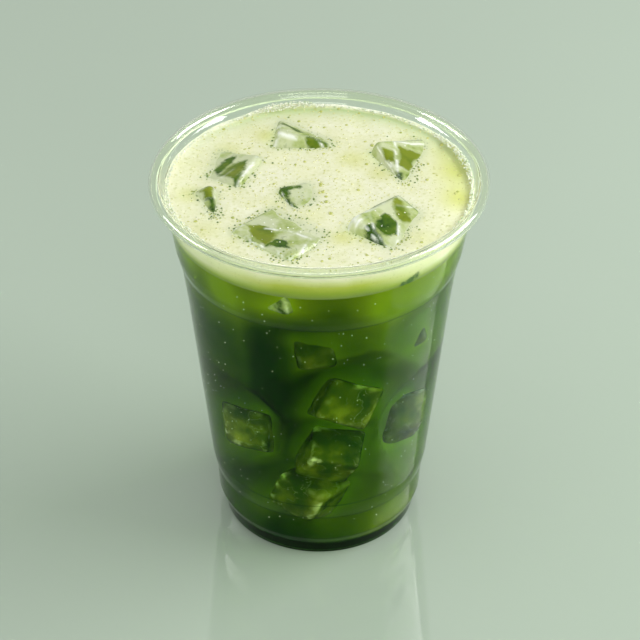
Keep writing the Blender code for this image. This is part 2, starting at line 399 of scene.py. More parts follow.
def turned(name, line):
    """A round piece: a line of (radius, height) points drawn from one vertex and spun about Z."""
    deselect()
    radius, height = line[0]
    bpy.ops.mesh.primitive_plane_add(size=MM, location=(radius * MM, 0.0, height * MM))
    piece = bpy.context.object
    bpy.ops.object.transform_apply(location=True)
    edit_all()
    bpy.ops.mesh.merge(type="CENTER")
    for before, after in zip(line, line[1:]):
        step = ((after[0] - before[0]) * MM, 0.0, (after[1] - before[1]) * MM)
        bpy.ops.mesh.extrude_vertices_move(TRANSFORM_OT_translate={"value": step})
    bpy.ops.mesh.select_all(action="SELECT")
    bpy.ops.mesh.spin(steps=CUP_STEPS, angle=FULL_TURN, center=(0, 0, 0), axis=(0, 0, 1))
    bpy.ops.mesh.select_all(action="SELECT")
    bpy.ops.mesh.remove_doubles(threshold=MERGE)
    bpy.ops.mesh.normals_make_consistent(inside=False)
    return settle(piece, name)


def store(mesh, name, values):
    """Store a number for each point of a mesh."""
    layer = mesh.attributes.new(name, "FLOAT", "POINT")
    layer.data.foreach_set("value", values)


def mark(piece, name, value):
    """Store for each point of a piece a number that follows from its place."""
    store(piece.data, name, [value(vertex.co) for vertex in piece.data.vertices])


def tree_of(piece, lowest=-1.0):
    """Search tree of a piece's faces above a height."""
    mesh = piece.data
    faces = [face.vertices[:] for face in mesh.polygons if face.center.z > lowest * MM]
    return BVHTree.FromPolygons([vertex.co[:] for vertex in mesh.vertices], faces)


def signed_reach(tree, spot):
    """How far a spot is from the ice, negative inside it."""
    place, normal, _, away = tree.find_nearest(spot * MM)
    return away / MM if (spot * MM - place).dot(normal) > 0 else -away / MM


def held(value):
    """A value kept between 0 and 1."""
    return min(1.0, max(0.0, value))


def spot_at(radius, angle, height):
    """The spot at a radius from the cup's axis, an angle in radians and a height."""
    return Vector((radius * math.cos(angle), radius * math.sin(angle), height))


def looked_up(table, place):
    """The value at a place in a table of (place, value), straight between its rows, held at its ends."""
    for (start, before), (end, after) in zip(table, table[1:]):
        if place <= end:
            return before + (after - before) * max(0.0, place - start) / (end - start)
    return table[-1][1]


# ---------------------------------------------------------------- lines

def outside_line():
    """Outer face of the cup as (radius, height), from under the rim to the middle of the base."""
    ring_inner = FOOT_RADIUS - FOOT_RING_WIDTH
    return [(radius, height) for height, radius in WALL_OUTSIDE] + [
        (FOOT_RADIUS - FOOT_EASE, 0.0),
        (ring_inner, 0.0),
        (ring_inner - PUNT_RUN * PUNT_BEND_SHARE, PUNT_HEIGHT - PUNT_BEND_DROP),
        (ring_inner - PUNT_RUN, PUNT_HEIGHT),
        (0.0, PUNT_HEIGHT),
    ]


def inset(line, depth):
    """A line that runs a given depth inside another, mitred at its corners."""
    points = [Vector(point) for point in line]
    ways = [(after - before).normalized() for before, after in zip(points, points[1:])]
    result = []
    for index, point in enumerate(points):
        arriving = ways[max(index - 1, 0)]
        leaving = ways[min(index, len(ways) - 1)]
        normal = Vector((arriving.y, -arriving.x))
        mitre = (normal + Vector((leaving.y, -leaving.x))).normalized()
        moved = point + mitre * depth / mitre.dot(normal)
        result.append((max(moved.x, 0.0), moved.y))
    result[-1] = (0.0, result[-1][1])
    return result


def eased(line):
    """The same line with its corners rounded, each from a short way before it to the same after."""
    points = [Vector(point) for point in line]
    result = [tuple(points[0])]
    for before, corner, after in zip(points, points[1:], points[2:]):
        start, end = (
            corner + side.normalized() * min(CORNER_EASE, side.length * EASED_SHARE)
            for side in (before - corner, after - corner)
        )
        for step in range(CORNER_STEPS + 1):
            t = step / CORNER_STEPS
            result.append(tuple(start * (1 - t) ** 2 + corner * 2 * t * (1 - t) + end * t ** 2))
    result.append(tuple(points[-1]))
    return result


def divided(line, spacing):
    """The same line with points no further apart than a spacing."""
    result = [line[0]]
    for before, after in zip(line, line[1:]):
        pieces = max(1, math.ceil(math.dist(before, after) / spacing))
        for index in range(1, pieces + 1):
            t = index / pieces
            result.append((before[0] + (after[0] - before[0]) * t, before[1] + (after[1] - before[1]) * t))
    return result


def curl_point(radius, angle):
    """A point at a radius and an angle in radians round the middle of the rolled rim's curl."""
    return (
        RIM_RADIUS - CURL_RADIUS + radius * math.cos(angle),
        CUP_HEIGHT - CURL_RADIUS + radius * math.sin(angle),
    )


def curl_line():
    """The rolled rim: over the top and round outside, then back along its own underside."""
    start, end = math.radians(180.0), math.radians(CURL_END_ANGLE)
    angles = [start + (end - start) * step / CURL_STEPS for step in range(CURL_STEPS + 1)]
    face = [curl_point(CURL_RADIUS, angle) for angle in angles]
    return face + [curl_point(CURL_RADIUS - WALL, angle) for angle in reversed(angles)]


OUTSIDE = eased(outside_line())


def radius_at(height, depth):
    """Radius of the face that lies a depth inside the wall's outer face, at a height."""
    for (r_top, z_top), (r_low, z_low) in zip(OUTSIDE, OUTSIDE[1:]):
        if z_low <= height <= z_top:
            share = (height - z_low) / max(z_top - z_low, TINY)
            return r_low + (r_top - r_low) * share - depth
    return OUTSIDE[0][0] - depth


# ---------------------------------------------------------------- materials

class Finish:
    """A material under construction: a Principled shader and short ways to feed it."""

    def __init__(self, name, **values):
        self.material = bpy.data.materials.new(name)
        self.material.use_nodes = True
        self.tree = self.material.node_tree
        self.shader = self.tree.nodes["Principled BSDF"]
        self.output = self.tree.nodes["Material Output"]
        for socket, value in values.items():
            self.set(socket, value)
        self.place = self.node("TexCoord").outputs["Object"]

    def set(self, socket, value):
        """Feed a socket of the shader; its name has _ for each space, and a colour is three numbers."""
        self.feed(self.shader.inputs[socket.replace("_", " ")], value)

    def feed(self, socket, value):
        """Set a socket, or link it to an output."""
        if isinstance(value, bpy.types.NodeSocket):
            self.tree.links.new(value, socket)
        else:
            socket.default_value = (*value, 1.0) if socket.type == "RGBA" else value

    def node(self, kind, inputs=None, **settings):
        """Add a node; inputs maps socket names to values or to outputs of other nodes."""
        made = self.tree.nodes.new("ShaderNode" + kind)
        for key, value in settings.items():
            setattr(made, key, value)
        for socket, value in (inputs or {}).items():
            self.feed(made.inputs[socket], value)
        return made

    def maths(self, operation, *values):
        """A maths node on numbers or outputs."""
        return self.node("Math", dict(enumerate(values)), operation=operation).outputs[0]

    def mix(self, factor, first, second):
        """Blend two colours."""
        return self.node("Mix", {0: factor, 6: first, 7: second}, data_type="RGBA").outputs[2]

    def between(self, value, low, high, to_low=0.0, to_high=1.0):
        """Map a range onto another, held at its ends."""
        made = self.node(
            "MapRange",
            {"Value": value, "From Min": low, "From Max": high, "To Min": to_low, "To Max": to_high},
            clamp=True,
        )
        return made.outputs["Result"]

    def ramp(self, factor, *stops):
        """A colour ramp through (position, colour) stops."""
        made = self.node("ValToRGB", {"Fac": factor})
        elements = made.color_ramp.elements
        while len(elements) < len(stops):
            elements.new(0.5)
        for element, (position, colour) in zip(elements, stops):
            element.position = position
            element.color = (*colour, 1.0)
        return made.outputs["Color"]

    def noise(self, scale, detail=2.0, rough=0.5, at=None):
        """A noise pattern; the scale is in features for each metre."""
        made = self.node(
            "TexNoise",
            {"Vector": at or self.place, "Scale": scale, "Detail": detail, "Roughness": rough},
        )
        return made.outputs["Fac"]

    def dots(self, scale, reach, odds):
        """Round dots with soft edges in a random share of a pattern's cells."""
        cells = self.node("TexVoronoi", {"Vector": self.place, "Scale": scale}, feature="F1")
        split = self.node("SeparateColor", {"Color": cells.outputs["Color"]})
        dot = self.between(cells.outputs["Distance"], reach * 0.4, reach, 1.0, 0.0)
        return self.maths("MULTIPLY", dot, self.maths("LESS_THAN", split.outputs["Red"], odds))

    def stored(self, name):
        """A number stored on the piece's points."""
        return self.node("Attribute", attribute_name=name, attribute_type="GEOMETRY").outputs["Fac"]

    def height(self):
        """The height above the floor, in millimetres."""
        split = self.node("SeparateXYZ", {"Vector": self.place})
        return self.maths("MULTIPLY", split.outputs["Z"], 1 / MM)

    def colour(self, value):
        """Set the shader's colour."""
        self.set("Base_Color", value)

    def bump(self, height, depth, strength):
        """Raise the surface by a pattern; the depth is in millimetres."""
        made = self.node("Bump", {"Height": height, "Strength": strength, "Distance": depth * MM})
        self.set("Normal", made.outputs["Normal"])

    def lets_lamps_through(self, tint):
        """Let light from the lamps pass straight on to what is behind."""
        path = self.node("LightPath")
        clear = self.node("BsdfTransparent", {"Color": tint})
        mixer = self.node("MixShader", {
            "Fac": path.outputs["Is Shadow Ray"],
            1: self.shader.outputs["BSDF"],
            2: clear.outputs["BSDF"],
        })
        self.feed(self.output.inputs["Surface"], mixer.outputs["Shader"])

    def on(self, piece):
        """Give the finish to a piece."""
        piece.data.materials.clear()
        piece.data.materials.append(self.material)


def clear_plastic(name, bend, tint, gloss=(1.0, 1.0, 1.0), flow=0.15, coat=0.0, lines=()):
    """Drawn clear plastic: bend is its IOR beside what it meets, flow how strong its flow lines are."""
    look = Finish(name, Roughness=0.02, IOR=bend, Transmission_Weight=1.0, Coat_Weight=coat)
    look.set("Specular_Tint", gloss)
    shade = tint
    # Painted shade: a fine dark line along each step of the wall.
    for line in lines:
        off = look.maths("ABSOLUTE", look.maths("SUBTRACT", look.height(), line))
        shade = look.mix(look.between(off, *RING_SHADE_REACH, 0.8, 0.0), shade, (0.18, 0.30, 0.10))
    look.colour(shade)
    stretched = look.node("Mapping", {"Vector": look.place, "Scale": (1.0, 1.0, 0.08)})
    look.bump(look.noise(160.0, detail=3.0, at=stretched.outputs["Vector"]), 0.02, flow)
    look.lets_lamps_through((0.95, 0.97, 0.95))
    return look


def dry_plastic():
    """The cup above the foam, faintly tinted."""
    return clear_plastic("clear_plastic", 1.2, (0.955, 0.985, 0.89), flow=0.04, coat=1.0)


def filled_plastic():
    """The wall's outer face where drink or foam backs it: a weak mirror, with painted shade along the
    steps.
    """
    return clear_plastic(
        "clear_plastic_filled", DRINK_BEND, (0.975, 0.99, 0.975), gloss=(0.24, 0.36, 0.13), lines=RING_SHADE_LINES
    )


def foot_plastic():
    """The heel and the base, dark with the drink above them and with painted shade where the cup stands."""
    return clear_plastic("clear_plastic_foot", 1.2, (0.02, 0.11, 0.01), gloss=(0.05, 0.10, 0.03))


def wetted_plastic():
    """The wall's inner face where drink or foam touches it, of which nothing shows."""
    return Finish("clear_plastic_wetted", Roughness=0.02, IOR=1.0, Transmission_Weight=1.0, Alpha=0.0)


def cut_edge():
    """The rolled rim's cut edge, a little frosted."""
    look = Finish("clear_plastic_cut", Roughness=0.6, Specular_IOR_Level=0.2)
    look.colour((0.50, 0.58, 0.42))
    return look


def drink():
    """The outer few millimetres of the drink: clear enough to see into."""
    look = Finish("green_juice", Roughness=0.0, IOR=1.0, Transmission_Weight=1.0)
    look.colour((1.0, 1.0, 1.0))
    cloud = look.node("VolumeAbsorption", {"Color": (0.53, 0.73, 0.0), "Density": JUICE_DENSITY})
    look.feed(look.output.inputs["Volume"], cloud.outputs["Volume"])
    look.lets_lamps_through((1.0, 1.0, 1.0))
    return look


def murk():
    """The cloudy depth of the drink: near black green, with light painted round the ice, under the foam and
    along the wall.
    """
    look = Finish("green_juice_depth", Roughness=0.9, Specular_IOR_Level=0.0)
    patch = look.maths("MULTIPLY", look.maths("SUBTRACT", look.noise(60.0, detail=3.0), 0.5), 0.3)
    # Colour ramp over the painted light, with random patches of tone.
    look.colour(look.ramp(
        look.maths("ADD", look.stored("painted_light"), patch),
        (0.0, (0.001, 0.027, 0.001)),
        (0.2, (0.024, 0.065, 0.001)),
        (0.4, (0.088, 0.145, 0.001)),
        (0.7, (0.17, 0.24, 0.002)),
        (1.0, (0.26, 0.36, 0.003)),
    ))
    return look


def froth_top(look):
    """The colour of the foam's top: cream with yellow patches, thin and pitted beside the ice."""
    mottle = look.between(look.noise(70.0, detail=4.0, rough=0.6), 0.42, 0.68, 0.0, 0.32)
    yellow = look.maths("MAXIMUM", mottle, look.stored("yellow"))
    cream = look.mix(yellow, (0.89, 0.88, 0.67), (0.66, 0.68, 0.17))
    cream = look.mix(look.stored("edge_green"), cream, (0.46, 0.58, 0.27))
    fine = look.between(look.noise(900.0), 0.42, 0.62, 0.0, 0.22)
    grained = look.mix(fine, cream, (0.62, 0.64, 0.26))
    pores = look.maths("MULTIPLY", look.dots(480.0, 0.34, 0.5), 0.42)
    dotted = look.mix(pores, grained, (0.52, 0.54, 0.13))
    near = look.stored("near_ice")
    thin = look.mix(look.maths("MULTIPLY", near, 0.55), dotted, (0.48, 0.55, 0.33))
    holes = look.maths("MULTIPLY", look.dots(1100.0, 0.38, 0.5), look.between(near, 0.2, 0.7))
    return look.mix(look.maths("MULTIPLY", holes, 0.7), thin, (0.13, 0.22, 0.04))


def froth_side(look):
    """The colour of the foam's side: greener down to the drink, which shows through at one place, and
    whiter up to its top, partly painted light from above.
    """
    band = look.maths("ADD", look.height(), look.between(look.noise(90.0), 0.3, 0.7, -0.5, 0.5))
    # Greener low down where the foam meets the drink; the white at the top is partly painted light falling
    # from above.
    side = look.ramp(
        look.between(band, FOAM_BOTTOM, FOAM_TOP + 1.0),
        (0.0, (0.18, 0.26, 0.05)),
        (0.2, (0.27, 0.38, 0.03)),
        (0.42, (0.43, 0.50, 0.07)),
        (0.62, (0.62, 0.67, 0.30)),
        (0.8, (0.80, 0.80, 0.58)),
        (1.0, (0.86, 0.86, 0.72)),
    )
    pale = look.between(look.height(), FOAM_BOTTOM + 0.8, FOAM_BOTTOM + 3.5, 0.0, 0.75)
    side = look.mix(look.maths("MULTIPLY", look.stored("side_pale"), pale), side, (0.74, 0.78, 0.54))
    side = look.mix(look.maths("MULTIPLY", look.dots(900.0, 0.3, 0.5), 0.2), side, (0.16, 0.24, 0.03))
    torn = look.between(look.noise(900.0, detail=4.0, rough=0.7), 0.35, 0.65, -0.35, 0.35)
    for spot in OPEN_SIDE:
        place = tuple(along * MM for along in spot)
        away = look.node("VectorMath", {0: look.place, 1: place}, operation="DISTANCE").outputs["Value"]
        reach = look.maths("ADD", look.maths("DIVIDE", away, OPEN_REACH * MM), torn)
        side = look.mix(look.between(reach, 0.4, 1.15, 0.95, 0.0), side, (0.03, 0.10, 0.006))
    return side


def froth():
    """Foam, with one look on top and another down its side."""
    look = Finish("foam", Roughness=0.55, Specular_IOR_Level=0.3)
    look.colour(look.mix(look.stored("at_wall"), froth_top(look), froth_side(look)))
    look.bump(look.noise(1400.0), 0.12, 0.5)
    return look


def bubble_skin(name, roughness, *stops):
    """The skin of small bubbles, coloured by the shade stored on each."""
    look = Finish(name, Roughness=roughness, Specular_IOR_Level=0.5)
    look.colour(look.ramp(look.stored("shade"), *stops))
    return look


def foam_bubble_skin():
    """Olive over thin foam, dark where the drink shows through the bubble."""
    return bubble_skin(
        "foam_bubbles",
        0.15,
        (0.0, (0.78, 0.77, 0.40)),
        (0.45, (0.52, 0.54, 0.15)),
        (0.7, (0.20, 0.30, 0.04)),
        (1.0, (0.05, 0.13, 0.01)),
    )


def white_bubble_skin():
    """White, a little green where the bubble is thin."""
    return bubble_skin(
        "white_froth",
        0.25,
        (0.0, (0.88, 0.90, 0.78)),
        (0.6, (0.78, 0.82, 0.62)),
        (1.0, (0.46, 0.58, 0.32)),
    )


def specks():
    """Pale pulp and gas specks just inside the wall."""
    look = Finish("juice_specks", Roughness=0.4)
    look.colour(look.mix(look.noise(300.0), (0.85, 0.95, 0.45), (1.0, 1.0, 0.8)))
    return look


def melting_ice():
    """Wet ice: its top milky, with green patches and painted white highlights along lines and edges, its
    far edges dark.
    """
    look = Finish("ice", Roughness=0.04, IOR=1.31)
    far = look.stored("far")
    warp = look.between(look.noise(260.0, detail=4.0, rough=0.6), 0.3, 0.7, -0.4, 0.4)
    inside = look.between(look.maths("ADD", look.stored("core"), warp), 0.3, 0.72)
    depth = look.between(look.noise(210.0, detail=3.0), 0.35, 0.65, -0.3, 0.35)
    green = look.ramp(
        look.maths("ADD", look.stored("tone"), depth),
        (0.0, (0.030, 0.100, 0.002)),
        (0.45, (0.10, 0.21, 0.004)),
        (1.0, (0.29, 0.37, 0.02)),
    )
    milky = look.ramp(
        look.noise(130.0, detail=4.0, rough=0.6),
        (0.32, (0.22, 0.32, 0.05)),
        (0.42, (0.47, 0.56, 0.20)),
        (0.56, (0.69, 0.74, 0.47)),
    )
    # Painted highlights: white along the listed lines and at the sharp edges, broken into spots and dimmed
    # at the far edges.
    broken = look.between(look.noise(260.0, detail=3.0), 0.44, 0.56, 0.2, 1.0)
    line = look.maths("MULTIPLY", look.stored("white"), broken)
    rim_highlight_spots = look.between(look.noise(250.0, detail=3.0), 0.50, 0.60, 0.0, 0.8)
    rim = look.maths("MULTIPLY", look.between(look.stored("edge"), 0.6, 0.9), rim_highlight_spots)
    dimmed = look.between(far, 0.3, 0.8, 1.0, 0.2)
    white = look.maths("MULTIPLY", look.maths("MAXIMUM", line, rim), dimmed)
    body = look.mix(inside, milky, green)
    body = look.mix(look.between(far, 0.35, 0.85, 0.0, 0.75), body, (0.11, 0.19, 0.03))
    look.colour(look.mix(white, body, (0.95, 0.97, 0.90)))
    clear = look.between(inside, 0.0, 1.0, 0.15, 0.35)
    bare = look.between(white, 0.0, 1.0, 1.0, 0.2)
    look.set("Transmission_Weight", look.maths("MULTIPLY", clear, bare))
    look.bump(look.noise(200.0), 0.35, 0.7)
    look.lets_lamps_through((0.97, 1.0, 0.96))
    return look


def sunk_ice(name, shown):
    """Ice under the drink: a clouded olive body with painted highlights on a share of its corners, partly
    standing for frost, and fine flaws.
    """
    look = Finish(name, Roughness=0.2, IOR=1.04)
    body = look.ramp(
        look.noise(120.0, detail=3.0),
        (0.36, (0.04, 0.10, 0.003)),
        (0.5, (0.13, 0.18, 0.006)),
        (0.66, (0.38, 0.40, 0.03)),
    )
    body = look.mix(shown * 0.6 + 0.4, (0.015, 0.06, 0.002), body)
    # Pale corners: painted highlights, partly frost; the thin wisps are fine flaws.
    spots = look.between(look.noise(240.0, detail=3.0), 0.50, 0.66)
    wide = look.between(look.noise(90.0), 0.48, 0.58, 0.15, 1.0)
    corners = look.maths("MULTIPLY", look.between(look.stored("edge"), 0.25, 0.75), spots)
    pale = look.maths("MULTIPLY", corners, wide)
    wisp = look.maths("ABSOLUTE", look.maths("SUBTRACT", look.noise(240.0, detail=4.0), 0.5))
    rare = look.between(look.noise(150.0), 0.48, 0.56)
    flaw = look.maths("MULTIPLY", look.between(wisp, 0.0, 0.012, 1.0, 0.0), rare)
    light = look.maths("MAXIMUM", pale, look.maths("MULTIPLY", flaw, 0.3))
    light = look.maths("MULTIPLY", light, shown)
    look.colour(look.mix(light, body, (1.0, 1.0, 0.95)))
    look.set("Transmission_Weight", look.between(light, 0.0, 1.0, 0.4, 0.0))
    look.bump(look.noise(260.0), 0.25, 0.6)
    look.lets_lamps_through((0.97, 1.0, 0.96))
    return look


# ---------------------------------------------------------------- cup

def cup_finish(spot, normal):
    """Which finish a face of the cup has, by its middle and the way that it faces."""
    cut_middle = curl_point(CURL_RADIUS - WALL / 2, math.radians(CURL_END_ANGLE))
    if math.dist((math.hypot(spot.x, spot.y), spot.z), cut_middle) < AT_CUT:
        return "cut"
    if spot.z >= FOAM_TOP + FOAM_RISE:
        return "dry"
    if spot.x * normal.x + spot.y * normal.y < 0 or normal.z > UPWARD:
        return "wetted"
    return "foot" if spot.z < FOOT_ZONE else "filled"


def make_cup():
    """The cup: inner face up from the middle of the base, the rolled rim, then the outer face."""
    inside = list(reversed(inset(OUTSIDE, WALL)))
    cup = turned("clear_cup", inside + curl_line() + OUTSIDE)
    smooth(cup, TURNED_SHARP)
    finishes = {
        "dry": dry_plastic(),
        "filled": filled_plastic(),
        "wetted": wetted_plastic(),
        "foot": foot_plastic(),
        "cut": cut_edge(),
    }
    for finish in finishes.values():
        cup.data.materials.append(finish.material)
    names = list(finishes)
    for face in cup.data.polygons:
        face.material_index = names.index(cup_finish(face.center / MM, face.normal))
    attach(cup, "root")
    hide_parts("cup")


# ---------------------------------------------------------------- ice

def wobble(piece, depth, size, seed, swell=0.0):
    """Move a piece's surface in and out by a smooth pattern, and all of it out by a swell."""
    offset = Vector([seed * step for step in SEED_STEPS])
    moves = [
        vertex.normal * (noise.noise(vertex.co / (size * MM) + offset) * depth + swell) * MM
        for vertex in piece.data.vertices
    ]
    for vertex, move in zip(piece.data.vertices, moves):
        vertex.co += move


def melt(piece, seed, depth, swell=0.0):
    """Turn a plain block into a melted cube; depth is how far its faces wander."""
    finish_modifier(piece, "REMESH", mode="VOXEL", voxel_size=ICE_VOXEL * MM)
    finish_modifier(piece, "SMOOTH", factor=0.5, iterations=2)
    wobble(piece, depth, MELT_SIZE, seed, swell)
    wobble(piece, depth * FINE_MELT_SHARE, FINE_MELT_SIZE, seed + FINE_MELT_SEED)
    smooth(piece, MELTED_SHARP)


def mark_edges(cube, middle, turn, size):
    """Store how near each point of a cube is to one of its block's edges."""
    back = Euler([math.radians(angle) for angle in turn]).to_matrix().transposed()
    half = Vector(size) / 2
    centre = Vector(middle)

    def nearness(spot):
        local = back @ (spot / MM - centre)
        shares = sorted(abs(way) / reach for way, reach in zip(local, half))
        return max(0.0, (shares[1] - EDGE_START) / (1 - EDGE_START))

    mark(cube, "edge", nearness)


def mark_far_edges(cube, middle):
    """Store which of a cube's edges are at its back, where the drink shows dark through them."""
    sharp = [entry.value for entry in cube.data.attributes["edge"].data]
    store(cube.data, "far", [
        held((vertex.co.y / MM - middle[1]) / FAR_RUN)
        * max(0.0, near - FAR_EDGE_START) / (1 - FAR_EDGE_START)
        for vertex, near in zip(cube.data.vertices, sharp)
    ])


def nearest_on(place, start, end):
    """The nearest place on a straight piece of line."""
    run = end - start
    return start + run * held((place - start).dot(run) / run.length_squared)


def off_line(place, line):
    """How far a place is from a line of points."""
    return min(
        (place - nearest_on(place, Vector(start), Vector(end))).length
        for start, end in zip(line, line[1:])
    )


def reach_inside(place, outline):
    """How far a place lies inside a closed outline; negative outside."""
    closed = outline + outline[:1]
    odd = False
    for (x1, y1), (x2, y2) in zip(closed, closed[1:]):
        if (y1 > place.y) != (y2 > place.y) and place.x < x1 + (place.y - y1) * (x2 - x1) / (y2 - y1):
            odd = not odd
    away = off_line(place, closed)
    return away if odd else -away


def best_patch(spot, patches):
    """The green patch that a spot on a floating cube is most inside: how far, and how yellow."""
    return max((reach_inside(spot.xy / MM, outline), yellow) for yellow, outline in patches)


def green_share(spot, patches):
    """How much a spot on a floating cube belongs to a green patch."""
    if spot.z / MM < FOAM_TOP - TOP_DEPTH:
        return HIDDEN_GREEN
    return held(0.5 + best_patch(spot, patches)[0] / PATCH_EASE)


def green_tone(spot, patches):
    """How yellow the green is at a spot on a floating cube."""
    return best_patch(spot, patches)[1] if spot.z / MM > FOAM_TOP - TOP_DEPTH else HIDDEN_TONE


def highlight_share(spot, streaks):
    """How much painted white highlight a spot on a floating cube has."""
    if spot.z / MM < FOAM_TOP - TOP_DEPTH:
        return 0.0
    return max(math.exp(-(off_line(spot.xy / MM, line) / HIGHLIGHT_HALF_WIDTH) ** 2) for line in streaks)


def make_floating_ice():
    """The cubes that stand through the foam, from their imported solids."""
    look = melting_ice()
    cubes = []
    for number, (node, block) in enumerate(FLOATING_ICE.items()):
        cube = bpy.data.objects.new("float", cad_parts[node].data.copy())
        bpy.context.scene.collection.objects.link(cube)
        take(cube)
        edit_all()
        bpy.ops.mesh.remove_doubles(threshold=MERGE)
        deselect()
        melt(cube, number, FLOATING_MELT, ICE_SWELL)
        settle(cube, f"melting_ice_{number + 1}")
        mark_edges(cube, *block)
        mark_far_edges(cube, block[0])
        patches = ICE_PATCHES[node]
        streaks = ICE_HIGHLIGHT_LINES[node]
        mark(cube, "core", lambda spot: green_share(spot, patches))
        mark(cube, "tone", lambda spot: green_tone(spot, patches))
        # The painted highlights along the listed lines.
        mark(cube, "white", lambda spot: highlight_share(spot, streaks))
        look.on(cube)
        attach(cube, "root")
        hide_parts(node)
        cubes.append(cube)
    return cubes


def make_sunk_ice():
    """The cubes wholly under the drink, seen through the wall."""
    near_look = sunk_ice("ice_in_drink", 1.0)
    deep_look = sunk_ice("ice_deep_in_drink", 0.15)
    cubes = []
    for number, (middle, turn, size, shown) in enumerate(SUNK_ICE):
        deselect()
        bpy.ops.mesh.primitive_cube_add(
            size=1.0,
            location=Vector(middle) * MM,
            rotation=[math.radians(angle) for angle in turn],
            scale=Vector(size) * MM,
        )
        cube = bpy.context.object
        bpy.ops.object.transform_apply(location=False, rotation=False, scale=True)
        edit_all()
        bpy.ops.mesh.bevel(offset=SUNK_BEVEL * MM, segments=3, affect="EDGES")
        deselect()
        settle(cube, f"sunk_ice_{number + 1}")
        melt(cube, number + SUNK_SEED, SUNK_MELT)
        mark_edges(cube, middle, turn, size)
        (near_look if shown > SHOWN_WELL else deep_look).on(cube)
        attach(cube, "root")
        cubes.append(cube)
    return cubes


def ice_room(cubes, shrink):
    """Joined copies of the cubes, each a little smaller, to clear their room in the drink."""
    copies = []
    for cube in cubes:
        copy = bpy.data.objects.new("room", cube.data.copy())
        bpy.context.scene.collection.objects.link(copy)
        moves = [vertex.normal * shrink * MM for vertex in copy.data.vertices]
        for vertex, move in zip(copy.data.vertices, moves):
            vertex.co -= move
        copies.append(copy)
    deselect()
    for copy in copies:
        copy.select_set(True)
    bpy.context.view_layer.objects.active = copies[0]
    bpy.ops.object.join()
    return copies[0]


def clear_room(piece, room):
    """Cut the ice's room out of a piece."""
    finish_modifier(piece, "BOOLEAN", operation="DIFFERENCE", object=room, solver="MANIFOLD")


def on_top(tree, x, y):
    """The place where a floating cube's top lies over a spot, or nothing where foam does."""
    place = tree.ray_cast(Vector((x, y, CUP_HEIGHT)) * MM, Vector((0, 0, -1)))[0]
    return place / MM if place and place.z / MM > FOAM_TOP + OVER_FOAM else None


# ---------------------------------------------------------------- drink

def make_drink(room):
    """The clear outside of the drink, out into the wall, with the ice's room cleared from it."""
    body = [point for point in inset(OUTSIDE, WALL - INTO_WALL) if point[1] < FOAM_BOTTOM]
    top = [(0.0, FOAM_BOTTOM), (radius_at(FOAM_BOTTOM, WALL - INTO_WALL), FOAM_BOTTOM)]
    juice = turned("green_drink", top + body)
    clear_room(juice, room)
    smooth(juice, CUT_SHARP)
    drink().on(juice)
    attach(juice, "root")
    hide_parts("juice")


def drawn_back(spot, flat):
    """How far the cloudy depth draws back at a spot, so that the front of each sunk cube shows."""
    pull = 0.0
    bearing = math.atan2(spot.y, spot.x)
    for (x, y, z), _, size, shown in SUNK_ICE:
        carried = math.hypot(x, y)
        turn = (bearing - math.atan2(y, x) + math.pi) % FULL_TURN - math.pi
        aside = carried * turn
        up = (spot.z - z - DENT_LIFT) * DENT_TALL
        beyond = math.hypot(aside, up) - max(size) / 2 - DENT_AROUND
        near = held(1.0 - beyond / DENT_REACH) * shown
        pull = max(pull, near * near * (3 - 2 * near) * max(0.0, flat - carried + DENT_BEHIND))
    return pull


def wall_light(spot):
    """The light painted on the drink behind the wall at a spot's bearing and height; below zero it is
    painted shade.
    """
    bearing = math.degrees(math.atan2(spot.y, spot.x))
    high, low = WALL_LIGHT_HEIGHTS
    rise = held((spot.z / MM - low) / (high - low))
    for (start, *before), (end, *after) in zip(WALL_LIGHT, WALL_LIGHT[1:]):
        if bearing <= end:
            share = (bearing - start) / (end - start)
            up, down = (old + (new - old) * share for old, new in zip(before, after))
            return down + (up - down) * rise
    return 0.0


def murk_line():
    """The cloudy depth's outline as (radius, height), from the middle of its top to that of its floor."""
    top = FOAM_BOTTOM + MURK_INTO_FOAM
    low = MURK_DEPTHS[0][0]
    floor = PUNT_HEIGHT + WALL + MURK_OVER_BASE
    heights = [top - step * (top - low) / MURK_ROWS for step in range(MURK_ROWS + 1)]
    side = [(radius_at(height, WALL + looked_up(MURK_DEPTHS, height)), height) for height in heights]
    return [(0.0, top)] + side + [(MURK_FOOT_RADIUS, floor), (0.0, floor)]


def make_murk(room):
    """The cloudy depth inside the drink, drawn back round the sunk ice, with painted light stored on its
    points.
    """
    depth = turned("drink_depth", divided(murk_line(), MURK_GRID))
    lowest, highest = DENT_HEIGHTS
    for vertex in depth.data.vertices:
        spot = vertex.co / MM
        flat = math.hypot(spot.x, spot.y)
        if flat > DENT_INNER_RADIUS and lowest < spot.z < highest:
            share = 1 - drawn_back(spot, flat) / flat
            vertex.co.x *= share
            vertex.co.y *= share
    tree = tree_of(room)
    clear_room(depth, room)

    # Painted light: round the ice, under the foam and along the wall, dimmed round cubes that show faintly.
    def painted_light(spot):
        under_foam = looked_up(UNDER_FOAM_LIGHT, FOAM_BOTTOM - spot.z / MM)
        lit = math.exp(-tree.find_nearest(spot)[3] / MM / GLOW_REACH)
        for middle, _, _, shown in SUNK_ICE:
            away = (spot / MM - Vector(middle)).length
            lit *= 1.0 - (1.0 - shown) * math.exp(-(away / DIM_REACH) ** 2)
        return min(1.0, lit + under_foam + wall_light(spot))

    mark(depth, "painted_light", painted_light)
    smooth(depth, CUT_SHARP)
    murk().on(depth)
    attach(depth, "root")


# ---------------------------------------------------------------- foam

def fringe_height(bearing):
    """How much higher the foam climbs the wall at a bearing, where froth clings."""
    height = 0.0
    for middle, half_width, rise in FRINGES:
        away = abs((bearing - middle + 180.0) % 360.0 - 180.0) / half_width
        if away < 1.0:
            height += rise * math.cos(away * math.pi / 2) ** 2
    return height


